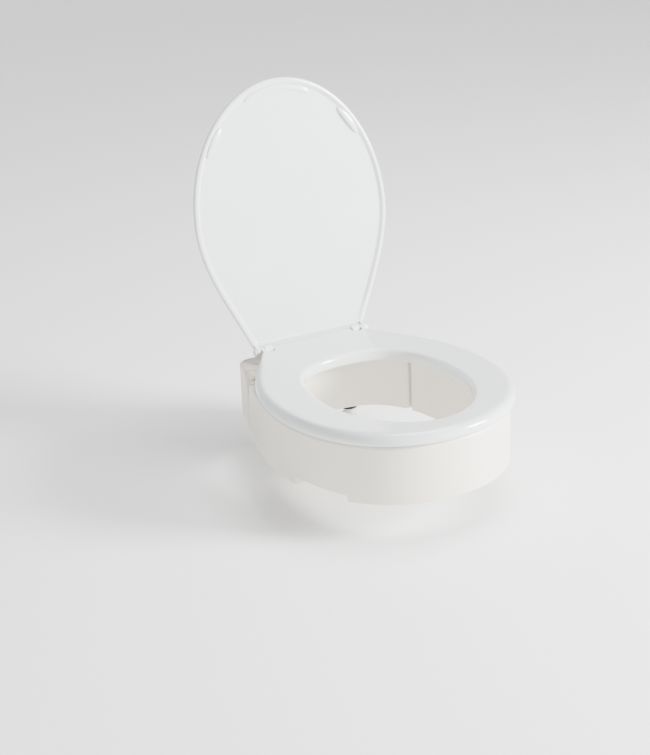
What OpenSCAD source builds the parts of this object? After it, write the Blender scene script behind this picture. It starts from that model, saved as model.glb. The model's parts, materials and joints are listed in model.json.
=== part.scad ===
// Hinged raised toilet seat: a fixed rear block bolted to the bowl, a hollow riser ring that swings up
// for cleaning, and a standard round seat and lid hinged on top.
// Frame: origin midway between the two bowl bolts on the bowl-rim plane, front towards -Y, up +Z.

/* [Riser] */
// Height of the riser above the bowl rim
riser_h = 88.9; // [86:0.1:92]
// Overall width of the riser
riser_w = 351; // [347:1:355]
// Bolt line to the front tip of the riser
riser_reach = 424; // [420:1:428]
// Wall thickness of the moulded riser
wall = 3.5; // [3:0.1:4]
// Half width of the opening through the riser
hole_hw = 122; // [119:0.5:123]

/* [Seat] */
// Overall width of the seat
seat_w = 362; // [356:1:366]
// Hinge axis to the front tip of the seat
seat_reach = 419; // [415:1:424]
// Thickness of the seat ring
seat_t = 18; // [17:0.5:18.5]
// Gap between the riser top and the seat underside
seat_gap = 3.5; // [3:0.1:4]

/* [Lid] */
// Overall width of the lid
lid_w = 334; // [328:1:340]
// Hinge axis to the front tip of the lid
lid_reach = 410; // [404:1:412]
// Angle the lid leans at, measured from closed
lid_lean = 100.4; // [98:0.2:102]

/* [Bolts] */
// Distance between the two bowl bolts
bolt_spacing = 139.7; // [139:0.1:140]
// Radius of the bolt shank where it passes through the bowl
stud_r = 4.5; // [4.4:0.05:4.5]
// Thickness of bowl that the bolts can clamp
bowl_t = 24; // [20:1:28]

/* [Hinges] */
// Hinge axis ahead of the bolt line
hinge_ahead = 12; // [11.5:0.1:12.5]
// Hinge axis above the riser top
hinge_rise = 18.1; // [18:0.1:18.6]
// Radius of the seat hinge pins
pin_r = 3.5; // [3.2:0.1:3.6]
// Riser pivot ahead of the seat hinge axis
pivot_ahead = 50; // [49:0.5:51]
// Height of the riser pivot
pivot_z = 72; // [71:0.5:73]

/* [Hidden] */
$fn = 64;

cream = [0.93, 0.92, 0.88];
white = [0.90, 0.92, 0.92];
grey = [0.55, 0.55, 0.54];
steel = [0.72, 0.73, 0.75];

hinge_y = -hinge_ahead;
hinge_z = riser_h + hinge_rise;
bolt_x = bolt_spacing / 2;
run_gap = 0.06;      // radial running clearance of a pin in its bore
seat_gap_fit = 0.02; // gap round a bush pressed into its seat

// Plan shape of the riser, in y measured from the hinge axis
riser_wide = -211;
riser_back_hw = 121;
riser_back_y = 9;
riser_back_r = 22;
riser_front_p = 2.15;
riser_bottom = 0.8;
top_t = 4;
edge_steps = [[0, 4], [1.1, 1.5], [3, 0]]; // inset and depth below the top of each edge step

// Opening through the riser
hole_wide = -225;
hole_front = 147;
hole_back = 177;

// Joint line between the rear block and the ring arms
arm_x = 124.6;       // outer side of the block's arms
arm_gap = 0.4;
arm_end = -110;      // front end of the block's arms
ring_inner_end = -113.5;
block_face = -45.5;  // front face of the block beside the ring arms
slope_z = 61;        // foot of the sloped shoulder above that face
slope_run = 38;      // how far back the shoulder reaches the top
ring_end = -47;      // rear end of the ring arms
end_r = 34;          // rounding of the ring arm's upper rear corner
pivot_y = hinge_y - pivot_ahead;
pivot_r = 5;
bush_r = 7.5;
lug_r = 11;
lug_out = 133;
slot_out = 136.4;      // room beside the lug for the pin's head
pin_head_r = 7;
pin_head_t = 2.4;

// Finger pockets in the ring's bottom edge
pocket_back = -252;
pocket_front = -341;
pocket_deep = 18;
pocket_h = 15.5;
pocket_skin = 2.5;

// Seat plan
seat_wide = -218;
seat_rear = -12;
seat_rear_hw = 99;
seat_slope = 0.87;
seat_hole_hw = 110;
seat_hole_c = -236;
seat_hole_front = 140;
seat_hole_back = 142;
seat_hole_p = [1.95, 2.5]; // front half and back half
seat_z0 = riser_h + seat_gap;
seat_z1 = seat_z0 + seat_t;
tail_back = 7;
tail_hw = 71;
relief_front = -20;  // the seat's underside is cut away behind this line
relief_z = hinge_z - 6.6;

// Lid plan and section, heights measured above the hinge axis with the lid closed
lid_wide = -202;
lid_rear = -7.2;
lid_rear_hw = 101;
lid_slope = 0.46;
lid_rim = 4.9;
lid_panel = 8.6;
lid_top = 17.5;
lid_rim_w = 8;

// Hinge stack, in x from the centre plane
barrel = [72, 85];
seat_ear = [85.4, 91.4];
lid_ear = [91.8, 98.4];
barrel_r = 7.5;
ear_r = 6.6;
foot_t = 4;

// Bolts
head_r = 7.5;
head_h = 2.2;
bolt_bore = 5.1;
neck_r = 4.75;
thread_r = 4.4;
thread_end = -62;
rubber_t = 3.5;
steel_t = 1.5;
nut_top = -(bowl_t + rubber_t + steel_t) - 0.3;

// Rubber foot and bumper positions, y from the hinge axis
block_pads = [[0, hinge_ahead, 12], [-98, 14, 9], [98, 14, 9], [-109, -85, 9], [109, -85, 9]];
ring_pads = [[0, -392, 10], [-106, -342, 9], [106, -342, 9], [-148, -225, 10], [148, -225, 10],
             [-140, -130, 9], [140, -130, 9]];
pad_t = 4;
seat_feet = [[-142, -165], [142, -165], [-112, -335], [112, -335]];

// Moulded lid details, y from the hinge axis with the lid closed
lid_foot = [127, -336, 29]; // centre and half length of each crescent bumper
lid_foot_w = 11;
lid_lip_hw = 66;            // half width of the finger lip at the front tip
lid_lip = [11, 20, 2.2];    // inner and outer inset and depth of the lip

// ---- outline functions ----

function powered(c, p) = sign(c) * pow(abs(c), 2 / p);
function mirrored(pts) = [for (q = pts) [-q[0], q[1]]];
function reversed(pts) = [for (i = [len(pts) - 1:-1:0]) pts[i]];

// Front half of an egg: a superellipse from +x round the tip to -x
function front_half(hw, wide, reach, p, n) =
    [for (i = [0:n]) let (t = 180 * i / n) [hw * powered(cos(t), p), wide - reach * powered(sin(t), p)]];

// Side from the widest point back to the rear, a cubic that leaves straight and arrives at a slope
function side_taper(hw, wide, rear_hw, rear, slope, n) =
    [for (i = [1:n]) let (s = i / n, d = rear - wide, blend = s * s * (3 - 2 * s))
        [hw + (rear_hw - hw) * blend + slope * d * s * s * (1 - s), wide + d * s]];

function rear_corner(rear_hw, rear, r, n) =
    [for (i = [1:n]) let (a = 90 * i / n) [rear_hw - r + r * cos(a), rear + r * sin(a)]];

function rear_line(hw, y, n) = [for (i = [1:n - 1]) [-hw + 2 * hw * i / n, y]];

function egg(hw, wide, reach, rear_hw, rear, slope, r, p, n) =
    let (side = concat(side_taper(hw, wide, rear_hw, rear, slope, ceil(n / 4)), rear_corner(rear_hw, rear, r, 4)))
    concat(front_half(hw, wide, reach, p, n), mirrored(side), rear_line(rear_hw - r, rear + r, 8), reversed(side));

function riser_outline(inset) =
    egg(riser_w / 2 - inset, riser_wide, riser_reach + hinge_y + riser_wide - inset, riser_back_hw - inset,
        riser_back_y, 0.3, riser_back_r - inset, riser_front_p, 40);

function hole_outline(grow) =
    [for (i = [0:5:355]) let (front = sin(i) < 0, p = front ? 2.2 : 2.75)
        [(hole_hw + grow) * powered(cos(i), p),
         hole_wide + ((front ? hole_front : hole_back) + grow) * powered(sin(i), p)]];

function seat_outline(inset) =
    egg(seat_w / 2 - inset, seat_wide, seat_reach + seat_wide - inset, seat_rear_hw - inset,
        seat_rear - 8, seat_slope, 8 - inset / 2, 2.15, 32);

function lid_outline(inset) =
    let (r = max(0.8, 4 - inset / 3))
    egg(lid_w / 2 - inset, lid_wide, lid_reach + lid_wide - inset, lid_rear_hw - inset,
        lid_rear - inset * 2 / 3 - r, lid_slope, r, 2, 36);

// ---- shared solids ----

// Solid stacked from loops of equal point count, each [z, outline]
module lofted(loops) {
    n = len(loops[0][1]);
    m = len(loops);
    points = [for (l = loops) for (q = l[1]) [q[0], q[1], l[0]]];
    sides = [for (k = [0:m - 2]) for (i = [0:n - 1]) let (a = k * n + i, b = k * n + (i + 1) % n)
        each [[a, b, b + n], [a, b + n, a + n]]];
    polyhedron(points, concat([[for (i = [n - 1:-1:0]) i]], sides, [[for (i = [0:n - 1]) (m - 1) * n + i]]),
        convexity = 6);
}

// Prism along x with a profile drawn in y and z
module side_prism(x0, x1) {
    translate([x0, 0, 0]) rotate([90, 0, 90]) linear_extrude(x1 - x0) children();
}

module both_sides() {
    children();
    mirror([1, 0, 0]) children();
}

module x_cylinder(x0, x1, r) {
    translate([x0, 0, 0]) rotate([0, 90, 0]) cylinder(r = r, h = x1 - x0);
}

// Band between the riser's outer outline and its opening, inset from both
module riser_plan(inset) {
    difference() {
        polygon(riser_outline(inset));
        polygon(hole_outline(inset));
    }
}

// The same band as a body with stepped top edges, open to a plan mask
module riser_body() {
    for (step = [0:len(edge_steps) - 1])
        translate([0, 0, riser_bottom])
            linear_extrude(riser_h - edge_steps[step][1] - riser_bottom) intersection() {
                riser_plan(edge_steps[step][0]);
                children();
            }
}

module block_mask(inset) {
    translate([-arm_x + inset, arm_end + inset]) square([2 * (arm_x - inset), 200]);
    translate([-riser_w, block_face + inset]) square([2 * riser_w, 200]);
}

module ring_mask(inset) {
    translate([-riser_w, -600]) square([2 * riser_w, 600 + ring_inner_end - inset]);
    for (side = [-1, 1])
        translate([side > 0 ? arm_x + arm_gap + inset : -riser_w, -600])
            square([riser_w - arm_x - arm_gap - inset, 600 + ring_end - inset]);
}

// Everything under the ring arm's rounded upper rear corner
module ring_side_profile(inset) {
    side_prism(-riser_w, riser_w)
        polygon(concat([[-600, -5], [ring_end - inset, -5]],
            [for (a = [0:9:90]) [ring_end - end_r + (end_r - inset) * cos(a),
                                 riser_h - end_r + (end_r - inset) * sin(a)]],
            [[-600, riser_h - inset]]));
}

module pads(spots, z0, z1) {
    for (s = spots) translate([s[0], s[1], z0]) cylinder(r = s[2], h = z1 - z0);
}

// ---- rear block ----

module rear_block() {
    color(cream) difference() {
        translate([0, hinge_y, 0]) difference() {
            union() {
                difference() {
                    riser_body() block_mask(0);
                    translate([0, 0, -1]) linear_extrude(riser_h - top_t + 1) intersection() {
                        riser_plan(wall);
                        translate([-arm_x + wall, arm_end + wall]) square([2 * (arm_x - wall), 200]);
                    }
                    translate([0, 0, -1]) linear_extrude(slope_z - top_t + 1) intersection() {
                        riser_plan(wall);
                        translate([-riser_w, block_face + wall]) square([2 * riser_w, 200]);
                    }
                }
                block_ribs();
            }
            both_sides() {
                slot_back = -pivot_ahead + lug_r + 0.5;
                translate([arm_x - 0.01, block_face - 1, pivot_z - lug_r - 0.8])
                    cube([slot_out - arm_x, slot_back - block_face + 1, riser_h]);
                side_prism(arm_x, riser_w)
                    polygon([[block_face - 1, slope_z], [block_face, slope_z],
                             [block_face + slope_run, riser_h + 0.2], [block_face - 1, riser_h + 0.2]]);
            }
            both_sides() translate([0, -pivot_ahead, pivot_z]) x_cylinder(104, arm_x + 1, pivot_r + seat_gap_fit);
            pads(block_pads, -1, pad_t + 0.02);
        }
        both_sides() translate([bolt_x, 0, -1]) cylinder(r = bolt_bore, h = riser_h + 2);
    }
}

// Bolt tubes, pad columns, pivot bosses and webs inside the block
module block_ribs() {
    both_sides() translate([bolt_x, hinge_ahead, riser_bottom]) cylinder(r = 12, h = riser_h - riser_bottom - 1);
    intersection() {
        translate([0, 0, riser_bottom]) linear_extrude(riser_h - top_t) riser_plan(1);
        union() {
            for (s = block_pads) translate([s[0], s[1], pad_t]) cylinder(r = s[2] + 1.5, h = riser_h - top_t - pad_t);
            both_sides() translate([0, -pivot_ahead, pivot_z]) x_cylinder(105, arm_x - 0.5, 9.5);
            for (x = [-110, -36, 36, 110]) translate([x - 1.25, -60, 3]) cube([2.5, 90, riser_h - 5]);
            translate([-116, hinge_ahead - 1.25, 3]) cube([232, 2.5, riser_h - 5]);
        }
    }
}

module rear_block_foot_pads() {
    color(grey) translate([0, hinge_y, 0]) pads(block_pads, 0, pad_t);
}

// ---- riser ring ----

module riser_ring() {
    color(cream) translate([0, hinge_y, 0]) difference() {
        union() {
            difference() {
                intersection() {
                    riser_body() ring_mask(0);
                    ring_side_profile(0);
                }
                intersection() {
                    translate([0, 0, -1]) linear_extrude(riser_h - top_t + 1) intersection() {
                        riser_plan(wall);
                        ring_mask(wall);
                    }
                    ring_side_profile(wall);
                }
            }
            ring_ribs();
            pocket_body(pocket_skin, riser_bottom, pocket_h + pocket_skin);
            both_sides() translate([0, -pivot_ahead, pivot_z]) {
                x_cylinder(arm_x + arm_gap, lug_out, lug_r);
                translate([arm_x + arm_gap, -22, -lug_r]) cube([lug_out - arm_x - arm_gap, 22, 2 * lug_r - 4]);
            }
        }
        pocket_body(0, -1, pocket_h);
        pads(ring_pads, -1, pad_t + 0.02);
        both_sides() translate([0, -pivot_ahead, pivot_z])
            x_cylinder(arm_x - 1, lug_out + 1, bush_r + seat_gap_fit);
        // room for the pin heads
        both_sides() translate([0, -pivot_ahead, pivot_z]) x_cylinder(lug_out, lug_out + 6.5, pin_head_r + 2);
    }
}

module ring_ribs() {
    intersection() {
        translate([0, 0, riser_bottom]) linear_extrude(riser_h - top_t) intersection() {
            riser_plan(1);
            ring_mask(1);
        }
        ring_side_profile(1);
        union() {
            for (s = ring_pads) translate([s[0], s[1], pad_t]) {
                cylinder(r = s[2] + 1.5, h = riser_h - top_t - pad_t);
                rotate([0, 0, atan2(s[1] - hole_wide, s[0])])
                    translate([-40, -1.25, 0]) cube([80, 2.5, riser_h - top_t - pad_t]);
            }
        }
    }
}

// Finger pocket room on both sides; grow thickens it into its lining
module pocket_body(grow, z0, z1) {
    translate([0, 0, z0]) linear_extrude(z1 - z0) intersection() {
        difference() {
            polygon(riser_outline(grow > 0 ? 0.5 : -5));
            polygon(riser_outline(pocket_deep + grow));
        }
        for (side = [-1, 1])
            translate([side > 0 ? 60 : -riser_w, pocket_front - grow])
                square([riser_w - 60, pocket_back - pocket_front + 2 * grow]);
    }
}

module riser_ring_foot_pads() {
    color(grey) translate([0, hinge_y, 0]) pads(ring_pads, 0, pad_t);
}

// Shouldered pin held in the block's arm, with its head inside the ring arm
module pivot_pin() {
    color(white) translate([0, pivot_y, pivot_z]) {
        x_cylinder(105, lug_out + 0.4, pivot_r);
        x_cylinder(lug_out + 0.4, lug_out + 0.4 + pin_head_t, pin_head_r);
    }
}
module pivot_pin_left() { mirror([1, 0, 0]) pivot_pin(); }
module pivot_pin_right() { pivot_pin(); }

module pivot_bush() {
    color(grey) translate([0, pivot_y, pivot_z]) difference() {
        x_cylinder(arm_x + arm_gap, lug_out, bush_r);
        x_cylinder(arm_x, lug_out + 1, pivot_r + run_gap);
    }
}
module pivot_bush_left() { mirror([1, 0, 0]) pivot_bush(); }
module pivot_bush_right() { pivot_bush(); }

// ---- seat ----

// Where the ray from the opening's centre towards a point meets the opening, grown by g
function hole_point(q, g) =
    let (v = [q[0], q[1] - seat_hole_c], l = norm(v), u = v / l,
         b = u[1] < 0 ? seat_hole_front : seat_hole_back,
         p = u[1] < 0 ? seat_hole_p[0] : seat_hole_p[1],
         k = pow(abs(u[0]) / (seat_hole_hw + g), p) + pow(abs(u[1]) / (b + g), p))
    [0, seat_hole_c] + u * pow(k, -1 / p);

// Section of the ring: [from the outside edge 1 or the opening 0, inset from that edge, height]
seat_section = [
    [1, 3, 0], [1, 0.6, 2.4], [1, 0, 6], [1, 0.8, 11], [1, 3.4, 15], [1, 8, 17.4], [1, 14, 18],
    [0, 12, 18], [0, 6, 16.6], [0, 2, 13.4], [0, 0.2, 9], [0, 0, 3], [0, 2, 0]];

module seat_annulus() {
    stretch = seat_t / 18;
    n = len(seat_outline(0));
    m = len(seat_section);
    rim = [for (s = seat_section) s[0] > 0 ? seat_outline(s[1]) : [for (q = seat_outline(0)) hole_point(q, s[1])]];
    points = [for (i = [0:n - 1]) for (j = [0:m - 1])
        [rim[j][i][0], rim[j][i][1], seat_z0 + seat_section[j][2] * stretch]];
    faces = [for (i = [0:n - 1]) for (j = [0:m - 1])
        let (a = i * m + j, b = i * m + (j + 1) % m, c = ((i + 1) % n) * m + (j + 1) % m, d = ((i + 1) % n) * m + j)
        each [[a, c, b], [a, d, c]]];
    polyhedron(points, faces, convexity = 8);
}

module seat_ring() {
    color(white) translate([0, hinge_y, 0]) difference() {
        union() {
            difference() {
                seat_annulus();
                translate([-130, relief_front, relief_z - 20]) cube([260, 40, 20]);
            }
            translate([-tail_hw, relief_front - 4, relief_z]) cube([2 * tail_hw, tail_back - relief_front + 4,
                seat_z1 - relief_z - 0.6]);
            both_sides() {
                translate([0, 0, hinge_z]) x_cylinder(seat_ear[0], seat_ear[1], ear_r);
                translate([seat_ear[0], -18, relief_z]) cube([seat_ear[1] - seat_ear[0], 18, ear_r + 2.6]);
            }
        }
        both_sides() translate([0, 0, hinge_z]) x_cylinder(65, 100, pin_r + run_gap);
        // notches for the hinge posts
        both_sides() translate([barrel[0] - 0.6, -11, relief_z - 5]) cube([barrel[1] - barrel[0] + 0.9, 30, 30]);
    }
}

module seat_bumpers() {
    color(grey) translate([0, hinge_y, 0])
        for (s = seat_feet) translate([s[0], s[1], riser_h + 0.3]) cylinder(r = 7, h = seat_gap - 0.3);
}

// ---- lid, drawn closed and then swung open about the hinge axis ----

module open_lid() {
    translate([0, hinge_y, hinge_z]) rotate([-lid_lean, 0, 0]) children();
}

module lid() {
    color(white) open_lid() difference() {
        union() {
            lofted([[lid_panel, lid_outline(lid_rim_w + 1)], [lid_rim + 1.4, lid_outline(lid_rim_w)],
                    [lid_rim, lid_outline(5)], [lid_rim + 0.9, lid_outline(1.8)], [lid_rim + 2.9, lid_outline(0)],
                    [lid_top - 6.5, lid_outline(0.3)], [lid_top - 3, lid_outline(2.6)],
                    [lid_top - 1, lid_outline(6.5)], [lid_top, lid_outline(14)]]);
            both_sides() lid_ear_arm();
            finger_lip();
        }
        both_sides() x_cylinder(lid_ear[0] - 1, lid_ear[1] + 1, pin_r + run_gap);
    }
}

// Raised band under the lid's front tip
module finger_lip() {
    translate([0, 0, lid_panel - lid_lip[2]]) linear_extrude(lid_lip[2] + 1) intersection() {
        difference() {
            polygon(lid_outline(lid_lip[0]));
            polygon(lid_outline(lid_lip[1]));
        }
        translate([-lid_lip_hw, -lid_reach]) square([2 * lid_lip_hw, 60]);
    }
}

module lid_ear_arm() {
    x_cylinder(lid_ear[0], lid_ear[1], ear_r);
    side_prism(lid_ear[0], lid_ear[1])
        polygon([[-12, lid_rim + 1.6], [-4.5, -4], [-1, 6.2], [-8, 9.6], [-8, 12], [-12, 12]]);
}

// Crescent bumpers against the rim, low enough to rest on the seat
module lid_bumpers() {
    foot_z = seat_z1 - hinge_z + 0.4;
    color(white) open_lid() both_sides() translate([0, 0, foot_z]) linear_extrude(lid_panel - foot_z)
        intersection() {
            difference() {
                polygon(lid_outline(lid_rim_w + 1.3));
                polygon(lid_outline(lid_rim_w + 1 + lid_foot_w));
            }
            translate([lid_foot[0], lid_foot[1]]) circle(r = lid_foot[2]);
        }
}

// ---- hinge posts and pins ----

module hinge_post() {
    color(white) difference() {
        union() {
            translate([57.5, hinge_y - 7, riser_h]) cube([27, 31, foot_t]);
            translate([barrel[0], hinge_y - 6.5, riser_h + foot_t - 0.5]) cube([barrel[1] - barrel[0], 9, hinge_rise - foot_t]);
            translate([0, hinge_y, hinge_z]) x_cylinder(barrel[0], barrel[1], barrel_r);
        }
        translate([bolt_x, 0, riser_h - 1]) cylinder(r = bolt_bore, h = foot_t + 2);
        translate([0, hinge_y, hinge_z]) x_cylinder(barrel[0] - 1, barrel[1] + 1, pin_r + run_gap);
    }
}
module hinge_post_left() { mirror([1, 0, 0]) hinge_post(); }
module hinge_post_right() { hinge_post(); }

module hinge_pin() {
    color(white) translate([0, hinge_y, hinge_z]) {
        x_cylinder(65.5, 98.8, pin_r);
        x_cylinder(98.8, 101, 5.5);
    }
}
module hinge_pin_left() { mirror([1, 0, 0]) hinge_pin(); }
module hinge_pin_right() { hinge_pin(); }

// ---- bowl fasteners ----

module bolt_cap() {
    cap_z = riser_h + foot_t;
    color(white) difference() {
        translate([bolt_x - 10, hinge_y + 3, cap_z]) cube([20, 20, 3.6]);
        translate([bolt_x, 0, cap_z - 1]) cylinder(r = head_r + 0.4, h = head_h + 1.3);
    }
}
module bolt_cap_left() { mirror([1, 0, 0]) bolt_cap(); }
module bolt_cap_right() { bolt_cap(); }

module bowl_bolt() {
    head_z = riser_h + foot_t;
    color(white) translate([bolt_x, 0, 0]) difference() {
        union() {
            translate([0, 0, head_z]) cylinder(r = head_r, h = head_h);
            translate([0, 0, -0.5]) cylinder(r = neck_r, h = head_z + 0.5);
            translate([0, 0, -bowl_t]) cylinder(r = stud_r, h = bowl_t - 0.5);
            translate([0, 0, thread_end]) cylinder(r = thread_r, h = -bowl_t - thread_end);
        }
        translate([-6, -0.8, head_z + 1]) cube([12, 1.6, 2]);
    }
}
module bowl_bolt_left() { mirror([1, 0, 0]) bowl_bolt(); }
module bowl_bolt_right() { bowl_bolt(); }

module washer(top, thick, r) {
    translate([bolt_x, 0, top - thick]) difference() {
        cylinder(r = r, h = thick);
        translate([0, 0, -1]) cylinder(r = thread_r + 0.2, h = thick + 2);
    }
}
module rubber_washer_left() { color(grey) mirror([1, 0, 0]) washer(-bowl_t, rubber_t, 13); }
module rubber_washer_right() { color(grey) washer(-bowl_t, rubber_t, 13); }
module flat_washer_left() { color(steel) mirror([1, 0, 0]) washer(-bowl_t - rubber_t, steel_t, 11); }
module flat_washer_right() { color(steel) washer(-bowl_t - rubber_t, steel_t, 11); }

module wing_nut() {
    color(white) translate([bolt_x, 0, nut_top]) difference() {
        union() {
            translate([0, 0, -11]) cylinder(r = 9, h = 11);
            for (turn = [0, 180]) rotate([0, 0, turn])
                translate([7, -1.75, -17]) cube([12, 3.5, 14]);
        }
        translate([0, 0, -18]) cylinder(r = thread_r + 0.08, h = 19);
    }
}
module wing_nut_left() { mirror([1, 0, 0]) wing_nut(); }
module wing_nut_right() { wing_nut(); }

rear_block();
rear_block_foot_pads();
riser_ring();
riser_ring_foot_pads();
pivot_pin_left();
pivot_pin_right();
pivot_bush_left();
pivot_bush_right();
seat_ring();
seat_bumpers();
lid();
lid_bumpers();
hinge_post_left();
hinge_post_right();
hinge_pin_left();
hinge_pin_right();
bolt_cap_left();
bolt_cap_right();
bowl_bolt_left();
bowl_bolt_right();
rubber_washer_left();
rubber_washer_right();
flat_washer_left();
flat_washer_right();
wing_nut_left();
wing_nut_right();
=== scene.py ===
"""Hinged raised toilet seat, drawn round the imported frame.

Shapes are worked out in millimetres, in y measured from the hinge axis where a plan outline is meant,
and turned into metres when a mesh is made.
"""

import json
import math

import bmesh
import bpy
import numpy as np
from mathutils import Matrix, Vector


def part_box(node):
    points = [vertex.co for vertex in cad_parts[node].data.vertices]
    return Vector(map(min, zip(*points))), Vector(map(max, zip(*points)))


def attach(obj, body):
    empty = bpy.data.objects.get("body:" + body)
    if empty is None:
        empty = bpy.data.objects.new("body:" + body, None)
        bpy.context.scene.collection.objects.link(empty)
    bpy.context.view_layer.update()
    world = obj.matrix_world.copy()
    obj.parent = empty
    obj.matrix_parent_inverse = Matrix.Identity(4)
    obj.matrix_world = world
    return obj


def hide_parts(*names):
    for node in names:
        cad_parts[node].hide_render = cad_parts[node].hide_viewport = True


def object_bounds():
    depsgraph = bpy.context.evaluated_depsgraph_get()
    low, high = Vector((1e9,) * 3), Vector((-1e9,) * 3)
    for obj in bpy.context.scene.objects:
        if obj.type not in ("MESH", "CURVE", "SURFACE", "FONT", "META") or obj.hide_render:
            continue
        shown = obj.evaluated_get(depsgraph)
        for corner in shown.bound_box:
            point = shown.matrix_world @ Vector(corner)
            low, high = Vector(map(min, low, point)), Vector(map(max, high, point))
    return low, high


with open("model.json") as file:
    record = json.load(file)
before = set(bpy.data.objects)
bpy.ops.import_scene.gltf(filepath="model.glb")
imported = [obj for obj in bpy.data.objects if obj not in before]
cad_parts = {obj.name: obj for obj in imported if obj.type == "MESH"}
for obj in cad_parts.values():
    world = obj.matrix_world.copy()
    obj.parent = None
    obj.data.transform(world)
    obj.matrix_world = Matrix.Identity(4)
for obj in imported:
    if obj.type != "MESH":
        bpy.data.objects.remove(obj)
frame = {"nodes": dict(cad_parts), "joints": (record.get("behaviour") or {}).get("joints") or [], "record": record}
CAD_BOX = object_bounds()

MM = 0.001


def box_mm(node):
    low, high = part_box(node)
    return np.array(low) / MM, np.array(high) / MM


def joint_mm(name):
    return next(np.array(j["pos_m"]) / MM for j in frame["joints"] if j["name"] == name)


# ---- sizes read from the frame ----

HINGE = joint_mm("lid_hinge")
PIVOT = joint_mm("riser_lift")
RING_LO, RING_HI = box_mm("riser_ring")
BLOCK_HI = box_mm("rear_block")[1]
SEAT_LO, SEAT_HI = box_mm("seat_ring")
LID_HI = box_mm("lid")[1]
POST_LO, POST_HI = box_mm("hinge_post_right")
BOLT_LO, BOLT_HI = box_mm("bowl_bolt_right")
NUT_LO, NUT_HI = box_mm("wing_nut_right")
CAP_LO, CAP_HI = box_mm("bolt_cap_right")
LID_LEAN = math.radians(-next(j["range_deg"][0] for j in frame["joints"] if j["name"] == "lid_hinge"))

RISER_H = BLOCK_HI[2]
RISER_HW = RING_HI[0]
SEAT_HW = SEAT_HI[0]
LID_HW = LID_HI[0]
BOLT_X = (BOLT_LO[0] + BOLT_HI[0]) / 2

# ---- shape values in millimetres, repeated from the CAD source ----

WALL = 3.5
TOP_T = 4
BOTTOM = RING_LO[2]
RISER_WIDE = -211
RISER_TIP = RING_LO[1] - HINGE[1]
RISER_BACK_HW = 121
RISER_BACK = 9
RISER_BACK_R = 22
RISER_P = 2.15
HOLE_HW = 122
HOLE_WIDE = -225
HOLE_FRONT = 147
HOLE_BACK = 177
HOLE_P_FRONT = 2.2
HOLE_P_BACK = 2.75
ARM_X = 124.6
ARM_GAP = 0.4
ARM_TIP = -110
RING_INNER_END = -113.5
BLOCK_FACE = -45.5
SLOPE_Z = 61
SLOPE_RUN = 38
RING_END = -47
END_R = 34
LUG_R = 11
LUG_OUT = 133
SLOT_OUT = 136.4
BUSH_R = 7.5
POCKET = (-341, -252)
POCKET_DEEP = 18
POCKET_H = 15.5
POCKET_SKIN = 2.5
RIB_TOP = 83
WEB_HALF = 1.25

SEAT_WIDE = -218
SEAT_REAR = -12
SEAT_REAR_HW = 99
SEAT_SLOPE = 0.87
SEAT_P = 2.15
SEAT_REAR_R = 8
SEAT_HOLE_HW = 110
SEAT_HOLE_C = -236
SEAT_HOLE_FRONT = 140
SEAT_HOLE_BACK = 142
SEAT_HOLE_P = (1.95, 2.5)
SEAT_T = 18
SEAT_Z0 = SEAT_LO[2]
TAIL_HW = 71
TAIL_BACK = 7
RELIEF = 8

LID_WIDE = -202
LID_TIP = -410
LID_REAR = -7.2
LID_REAR_HW = 101
LID_SLOPE = 0.46
LID_RIM = 4.9
LID_PANEL = 8.6
LID_TOP = 17.5
LID_RIM_W = 8
LID_FOOT = (127, -336, 29)
LID_FOOT_Z = 3.8
LID_LIP_HW = 66
LID_LIP = (11, 20, 2.2)

EAR_R = 6.6
SEAT_EAR = (85.4, 91.4)
LID_EAR = (91.8, 98.4)
PIN_HOLE = 3.6

BLOCK_PADS = [(0, 12, 12), (-98, 14, 9), (98, 14, 9), (-109, -85, 9), (109, -85, 9)]
RING_PADS = [(0, -392, 10), (-106, -342, 9), (106, -342, 9), (-148, -225, 10), (148, -225, 10),
             (-140, -130, 9), (140, -130, 9)]


# ---- how finely the outlines are divided ----

STEP_STATIONS = 26
RING_STATIONS = 116
BACK_STATIONS = 90
ARM_STATIONS = 60
SEAT_POINTS = 440
LID_POINTS = 360

# section of the raised strips under the lid, as shares of half width and of height
STRIP_SECTION = ((-1, 0), (-0.97, 0.5), (-0.85, 0.85), (-0.6, 1), (0, 1),
                 (0.6, 1), (0.85, 0.85), (0.97, 0.5), (1, 0))


# ---- plan curves ----

def powered(c, p):
    return np.sign(c) * np.abs(c) ** (2 / p)


def side_x(y, hw, wide, rear_hw, rear, slope):
    s = np.clip((y - wide) / (rear - wide), 0, 1)
    return hw + (rear_hw - hw) * s * s * (3 - 2 * s) + slope * (rear - wide) * s * s * (1 - s)


def arc(cx, cy, r, a0, a1, n=24):
    a = np.radians(np.linspace(a0, a1, n))
    return np.c_[cx + r * np.cos(a), cy + r * np.sin(a)]


def front_quarter(hw, wide, tip, p, n=600):
    a = np.linspace(0, math.pi / 2, n)
    return np.c_[hw * powered(np.cos(a), p), wide + (tip - wide) * powered(np.sin(a), p)]


def resample(points, n):
    keep = np.r_[True, np.linalg.norm(np.diff(points, axis=0), axis=1) > 1e-6]
    points = points[keep]
    d = np.r_[0, np.cumsum(np.linalg.norm(np.diff(points, axis=0), axis=1))]
    t = np.linspace(0, d[-1], n)
    return np.c_[np.interp(t, d, points[:, 0]), np.interp(t, d, points[:, 1])]


def whole(right):
    """Right half, from the rear centre to the front tip, made into a closed loop."""
    left = right[1:-1][::-1] * [-1, 1]
    return np.vstack([right, left])


def loop_normals(loop):
    """Outward normals of a closed loop whose points run clockwise from the rear over +x to the front."""
    t = np.roll(loop, -1, axis=0) - np.roll(loop, 1, axis=0)
    n = np.c_[-t[:, 1], t[:, 0]]
    return n / np.linalg.norm(n, axis=1)[:, None]


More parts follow.
